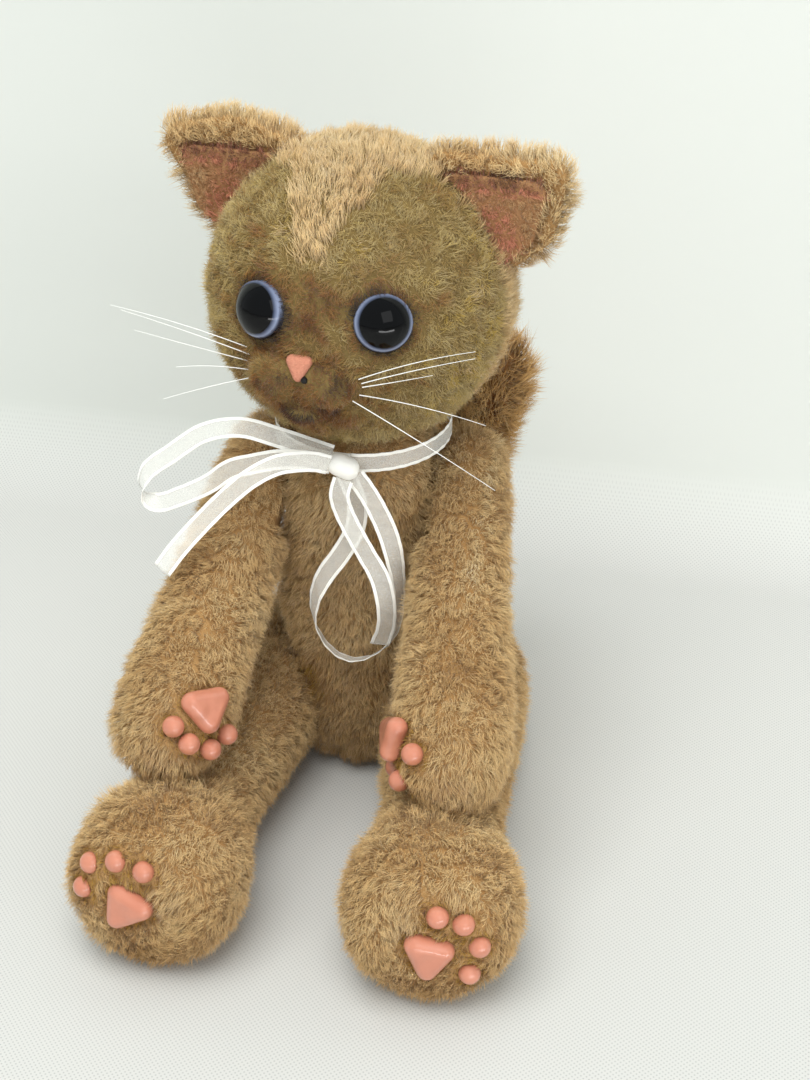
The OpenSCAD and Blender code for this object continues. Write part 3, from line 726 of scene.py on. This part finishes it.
def plush_share(p):
    """Where the head's own plush shows: its back, and a stripe from the crown to between the eyes."""
    q = on_face(p)
    ragged = 1.6 * wobble(p, 7, 71)
    half = 5 + 8 * smoothstep(q[:, 2], 24, 40) + ragged
    stripe = smoothstep(half - abs(q[:, 0] + 1), -1.2, 1.2) * smoothstep(q[:, 2], 19, 24)
    back = smoothstep(q[:, 1] + 0.12 * abs(q[:, 0]) + ragged, 0, 5)
    crown = smoothstep(q[:, 2] + 0.35 * q[:, 1] + ragged, 33, 36)
    return np.maximum(np.maximum(stripe, back), crown)


def wool_hue(p, n):
    q = on_face(p)
    hue = 0.6 + 0.16 * wobble(p, 10, 21) + 0.1 * wobble(p, 4, 22)
    hue += 0.1 * smoothstep(abs(q[:, 0]), 26, 40)
    hue += 0.3 * patch(q, -10, 29, 3.5, 9) + 0.26 * patch(q, 9, 25, 6, 5) + 0.14 * patch(q, 34, -14, 10, 14)
    # In the next line, the last patch (z = -22) is painted shade under the muzzle.
    hue -= 0.3 * patch(q, 1, 8, 8, 12) + 0.36 * patch(q, -4, -11, 14, 9) + 0.32 * patch(q, -2, -22, 16, 6)
    hue -= 0.3 * patch(q, 9, -8, 4, 4) + 0.12 * patch(q, 18, -9, 8, 5) + 0.1 * patch(q, 2, 16, 5, 6)
    hue += 0.5 * patch(q, 13, -2, 3, 1.6) + 0.12 * patch(q, 9, 2, 4, 4)
    hue -= 0.6 * (1 - smoothstep(from_eyes(p), 8.8, 12.5))
    return hue


def wool_flow(p, n):
    """Felted wool lies every way, and over the rims of the eyes."""
    away = p - HEAD_CENTRE
    near = 1 - smoothstep(from_eyes(p), 9, 12)
    sides = np.stack([away @ axis for axis in EYES.values()], axis=1)
    nearest = np.array(list(EYES.values()))[np.argmax(sides, axis=1)]
    return wobble3(p, 6, 81) + 3 * near[:, None] * unit(nearest * HEAD_RADIUS - away)


def make_head():
    skin = soft_copy("head_fabric", ["head_skin"], 1.2)
    dress(skin, "head", face_skin_mat, "fur", "head_skin")

    def length(p):
        return FUR_LENGTH * (1 - 0.45 * smoothstep(p[:, 2], 134, 122))

    grow("head_fur", skin, "head", fur_mat, FUR_DENSITY, length, FUR_WIDTH, toward((0, 0.8, 0.5)),
         lambda p, n: tan_hue(p, n) + 0.06, lean=0.6,
         where=lambda p, n: plush_share(p) * (from_eyes(p) > 8.3), seed=31)
    grow("head_wool", skin, "head", wool_mat, 420, 3.6, WOOL_WIDTH, wool_flow, wool_hue, lean=0.72,
         curl=0.5, tuft=3, clump=0.15,
         where=lambda p, n: (1 - plush_share(p)) * (from_eyes(p) > 8.1), seed=32)


def make_muzzle():
    skin = soft_copy("muzzle_wool_core", ["muzzle_felt"], 0.7, smooth=6, shell=False)
    dress(skin, "head", face_skin_mat, "felt", "muzzle_felt")

    def clear(p, n):
        return (gap_to(p, ["nose", "mouth_stitch"], 4) > 0.5) & (from_eyes(p) > 8.1)

    grow("muzzle_wool", skin, "head", wool_mat, 460, 2.4, WOOL_WIDTH, wool_flow, wool_hue, lean=0.6,
         curl=0.5, tuft=2.5, clump=0.15, where=clear, seed=33)
    nose = soft_copy("nose_wool_core", ["nose"], 0.35, smooth=4, shell=False)
    dress(nose, "head", nose_mat, "nose_felt", "nose")


def make_eye(side):
    """A lathed glass eye in its own frame: z outwards, with z = 0 on the head's surface."""
    radius, sink, rim, dome = 7.9, 3.1, 0.9, 4.4
    cap = (radius**2 + dome**2) / (2 * dome)
    profile = [(radius, -sink), (radius, rim)]
    for r in radius * np.linspace(0.96, 0.08, 16):
        profile.append((r, rim + dome - cap + math.sqrt(cap**2 - r**2)))
    around = 64
    bm = bmesh.new()
    rings = [[bm.verts.new((r * MM * math.cos(a), r * MM * math.sin(a), z * MM))
              for a in np.linspace(0, 2 * math.pi, around, endpoint=False)] for r, z in profile]
    for low, high in zip(rings, rings[1:]):
        for k in range(around):
            bm.faces.new((low[k], low[(k + 1) % around], high[(k + 1) % around], high[k]))
    bm.faces.new(rings[-1])
    bm.faces.new(rings[0][::-1])
    mesh = bpy.data.meshes.new(side + "_glass_eye")
    bm.to_mesh(mesh)
    bm.free()
    mesh.shade_smooth()
    obj = bpy.data.objects.new(side + "_glass_eye", mesh)
    scene.collection.objects.link(obj)
    axis = Vector(EYES[side])
    place = Matrix.Translation(Vector(HEAD_CENTRE * MM) + axis * HEAD_RADIUS * MM)
    obj.matrix_world = place @ axis.to_track_quat("Z", "Y").to_matrix().to_4x4()
    dress(obj, "head", eye_mat, "eye_glass", side + "_eye")


def loose_parts(node):
    """The vertices of each separate solid of a CAD node, in millimetres."""
    bm = bmesh.new()
    bm.from_mesh(frame["nodes"][node].data)
    bmesh.ops.remove_doubles(bm, verts=bm.verts, dist=1e-6)
    parts, seen = [], set()
    for vert in bm.verts:
        if vert in seen:
            continue
        part, stack = [], [vert]
        seen.add(vert)
        while stack:
            here = stack.pop()
            part.append(np.array(here.co) / MM)
            for edge in here.link_edges:
                other = edge.other_vert(here)
                if other not in seen:
                    seen.add(other)
                    stack.append(other)
        parts.append(np.array(part))
    bm.free()
    return parts


def make_whiskers(side):
    """Nylon threads from the CAD rods' roots to their tips, with a little bow."""
    curve = bpy.data.curves.new(side + "_nylon_whiskers", "CURVE")
    curve.dimensions = "3D"
    curve.bevel_depth = 0.16 * MM
    curve.bevel_resolution = 2
    curve.use_fill_caps = True
    for number, part in enumerate(loose_parts(side + "_whiskers")):
        far = np.linalg.norm(part - HEAD_CENTRE, axis=1)
        root, tip = part[far < far.min() + 1].mean(axis=0), part[far > far.max() - 1].mean(axis=0)
        spline = curve.splines.new("POLY")
        steps = np.linspace(0, 1, 14)
        spline.points.add(len(steps) - 1)
        for point, t in zip(spline.points, steps):
            bow = 4 * t * (1 - t) * (0.9 - 0.5 * (number % 3))
            point.co = (*((root + (tip - root) * t + np.array([0, 0, bow])) * MM), 1)
            point.radius = 1 - 0.6 * t
    obj = bpy.data.objects.new(side + "_nylon_whiskers", curve)
    scene.collection.objects.link(obj)
    dress(obj, "head", whisker_mat, "whisker", side + "_whiskers")


def ear_hue(p, n):
    q = on_face(p)
    inner = 1 - smoothstep(np.hypot(abs(q[:, 0]) - 37, q[:, 2] - 20), 6, 13)
    # top is painted shade under the fur folded over the lining's top edge: it turns the lining's top dark brown.
    top = smoothstep(q[:, 2], 29, 35)
    return 0.72 + 0.08 * wobble(p, 9, 8) - 0.4 * inner - 0.62 * top


def ear_fur_hue(p, n):
    return tan_hue(p, n) + 0.08


def make_ears():
    for side in ("left", "right"):
        back = soft_copy(side + "_ear_fabric", [side + "_ear_back"], 0.8, smooth=6, shell=False)
        dress(back, "head", body_skin_mat, "fur", side + "_ear_back")
        grow(side + "_ear_fur", back, "head", fur_mat, FUR_DENSITY, 5.4, FUR_WIDTH,
             toward((0, 0.2, 1)), ear_fur_hue, where=bare_near([side + "_ear_lining"], 0.3), seed=51)
        lining = soft_copy(side + "_ear_lining_fabric", [side + "_ear_lining"], 0.6, smooth=4, shell=False)
        dress(lining, "head", pink_skin_mat, "ear_fur", side + "_ear_lining")
        grow(side + "_ear_lining_fur", lining, "head", pink_mat, 420, 2.8, 0.16,
             toward((0, -0.3, 1)), ear_hue, lean=0.45, seed=52)


def tail_hue(p, n):
    return 0.5 + 0.22 * wobble(p, 12, 3) + 0.1 * wobble(p, 5, 4)


def make_tail():
    skin = soft_copy("tail_fabric", ["tail_skin"], 1.4, convex=False)
    dress(skin, "torso", tail_skin_mat, "tail_fur", "tail_skin")
    grow("tail_fur", skin, "torso", tail_mat, 300, 10.5, 0.24, toward((0.3, -0.1, 1)), tail_hue,
         lean=0.5, tuft=5, clump=0.55, seed=41)


def make_neck_ribbon():
    low, high = (np.array(c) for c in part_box("ribbon_neck_band"))
    middle, radius = (low + high) / 2, (high[0] - low[0]) / 2 - RIBBON_THICKNESS
    start = math.radians(-88)
    rows = []
    for a in start + np.linspace(0, 2 * math.pi, 49):
        out = np.array([math.cos(a), math.sin(a), 0])
        rows.append((*(middle + radius * out), *out))
    band, _ = ribbon_strip("neck_band_organza", rows, 3)
    band.data.materials.append(organza_mat)
    band.data.materials.append(satin_mat)
    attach(band, "torso")
    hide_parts("ribbon_neck_band")
    knot = soft_copy("knot_organza", ["ribbon_knot"], 0.4, smooth=3, shell=False)
    dress(knot, "torso", satin_mat, "organza", "ribbon_knot")


make_torso()
make_limb("left", "arm", (0.13, -0.85, -0.52), ["left_palm_pad", "left_hand_toe_pads"], left_arm_marks, 12)
make_limb("right", "arm", (-0.13, -0.85, -0.52), ["right_palm_pad", "right_hand_toe_pads"], no_marks, 13)
make_limb("left", "leg", (0, -1, 0), ["left_sole_pad", "left_foot_toe_pads"], no_marks, 14)
make_limb("right", "leg", (0, -1, 0), ["right_sole_pad", "right_foot_toe_pads"], no_marks, 15)
make_head()
make_muzzle()
make_tail()
make_ears()
make_neck_ribbon()
for side in ("left", "right"):
    make_eye(side)
    make_whiskers(side)
for part in frame["record"]["subparts"]:
    if part["material_slot"] in HIDDEN_MATERIALS:
        shown = frame["nodes"][part["node"]].data
        shown.materials.clear()
        shown.materials.append(HIDDEN_MATERIALS[part["material_slot"]])

# ---- stage and light ----

DOT_WAVES = 4200
WALL_FOOT = 0.085
WALL_CURVE = 0.035


def make_stage():
    """A cloth that lies on the table and rises behind the cat."""
    n = Nodes("cloth")
    spot = n.add("TexCoord").outputs["Object"]
    split = n.add("SeparateXYZ", (0, spot)).outputs
    waves = []
    for k in (0, 1):
        phase = n.add("Math", (0, split[k]), (1, DOT_WAVES), operation="MULTIPLY").outputs[0]
        waves.append(n.add("Math", (0, phase), operation="SINE").outputs[0])
    dots = n.add("Math", (0, waves[0]), (1, waves[1]), operation="MULTIPLY").outputs[0]
    dark = n.add("MapRange", (0, dots), (1, 0.35), (2, 0.9)).outputs[0]
    table = n.add("MapRange", (0, split[2]), (1, 0.03), (2, 0)).outputs[0]
    mixed = n.add("Math", (0, dark), (1, table), operation="MULTIPLY").outputs[0]
    # Painted shade: the part of the cloth lying on the table is darker than the part rising behind the cat.
    plain = n.mix(table, srgb(222, 224, 219), srgb(202, 201, 198))
    n.set(Base_Color=n.mix(mixed, plain, srgb(172, 171, 170)), Roughness=0.9)
    profile = [(-3.0, 0.0), (WALL_FOOT, 0.0)]
    for a in np.linspace(0.1, 1.45, 12):
        profile.append((WALL_FOOT + WALL_CURVE * math.sin(a), WALL_CURVE - WALL_CURVE * math.cos(a)))
    profile.append((0.16, 2.5))
    points = [(x, y, z) for x in (-3.0, 3.0) for y, z in profile]
    count = len(profile)
    mesh = bpy.data.meshes.new("cloth")
    mesh.from_pydata(points, [], [(i, i + count, i + count + 1, i + 1) for i in range(count - 1)])
    mesh.shade_smooth()
    mesh.materials.append(n.material)
    cloth = bpy.data.objects.new("cloth", mesh)
    scene.collection.objects.link(cloth)
    cloth.location = (0, 0.022, 0)
    cloth.rotation_euler = (0, 0, math.radians(-3))


def area_light(name, azimuth, elevation, distance, size, power, colour=(1, 1, 1)):
    light = bpy.data.objects.new(name, bpy.data.lights.new(name, "AREA"))
    light.data.size = size
    light.data.energy = power
    light.data.color = colour
    towards = direction(azimuth, elevation)
    light.location = CAMERA_TARGET + distance * towards
    light.rotation_euler = towards.to_track_quat("Z", "Y").to_euler()
    scene.collection.objects.link(light)
    return light


def make_lights():
    area_light("overhead", -20, 70, 1.3, 1.0, 17, (0.98, 1, 0.98)).visible_glossy = False
    area_light("fill", 35, 35, 1.5, 0.9, 3)
    glint = area_light("glint", 28, -8, 0.55, 0.5, 1.1)
    glint.data.shape = "RECTANGLE"
    glint.data.size_y = 0.07
    scene.world = bpy.data.worlds.new("room")
    scene.world.use_nodes = True
    background = scene.world.node_tree.nodes["Background"]
    background.inputs["Color"].default_value = (0.93, 1, 1, 1)
    background.inputs["Strength"].default_value = 0.56
    scene.view_settings.view_transform = "Standard"


make_stage()
make_lights()
